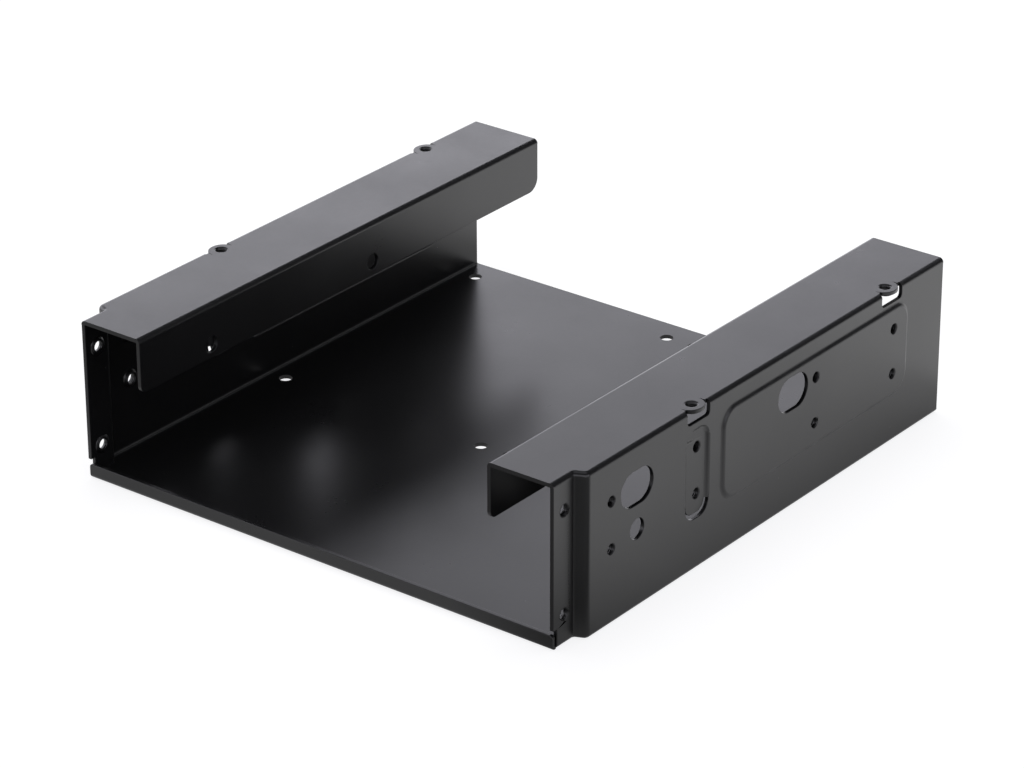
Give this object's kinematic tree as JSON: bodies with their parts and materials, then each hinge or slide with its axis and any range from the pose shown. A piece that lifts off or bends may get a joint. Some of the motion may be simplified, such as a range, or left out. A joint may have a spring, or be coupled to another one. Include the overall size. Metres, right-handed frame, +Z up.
{
  "type": "hard drive tray",
  "caption": "Folded sheet-steel tray for a half-height drive bay, with side channels that hold one large drive and a floor that carries two small ones.",
  "frame": {"origin": "middle of the tray's length and width, on the underside of the floor", "axes": "+X towards the right side wall, -Y towards the front curb, +Z up from the floor to the flanges"},
  "size_m": [0.1456, 0.152, 0.0413],
  "materials": {
    "painted_steel": "semi-gloss black powder coat"
  },
  "bodies": {
    "root": {"floor_plate": "painted_steel", "front_curb": "painted_steel", "right_side_wall": "painted_steel", "left_side_wall": "painted_steel", "right_front_strip": "painted_steel", "left_front_strip": "painted_steel", "right_top_flange": "painted_steel", "left_top_flange": "painted_steel", "right_inner_lip": "painted_steel", "left_inner_lip": "painted_steel", "right_front_ear": "painted_steel", "right_rear_ear": "painted_steel", "left_front_ear": "painted_steel", "left_rear_ear": "painted_steel"}
  },
  "joints": []
}
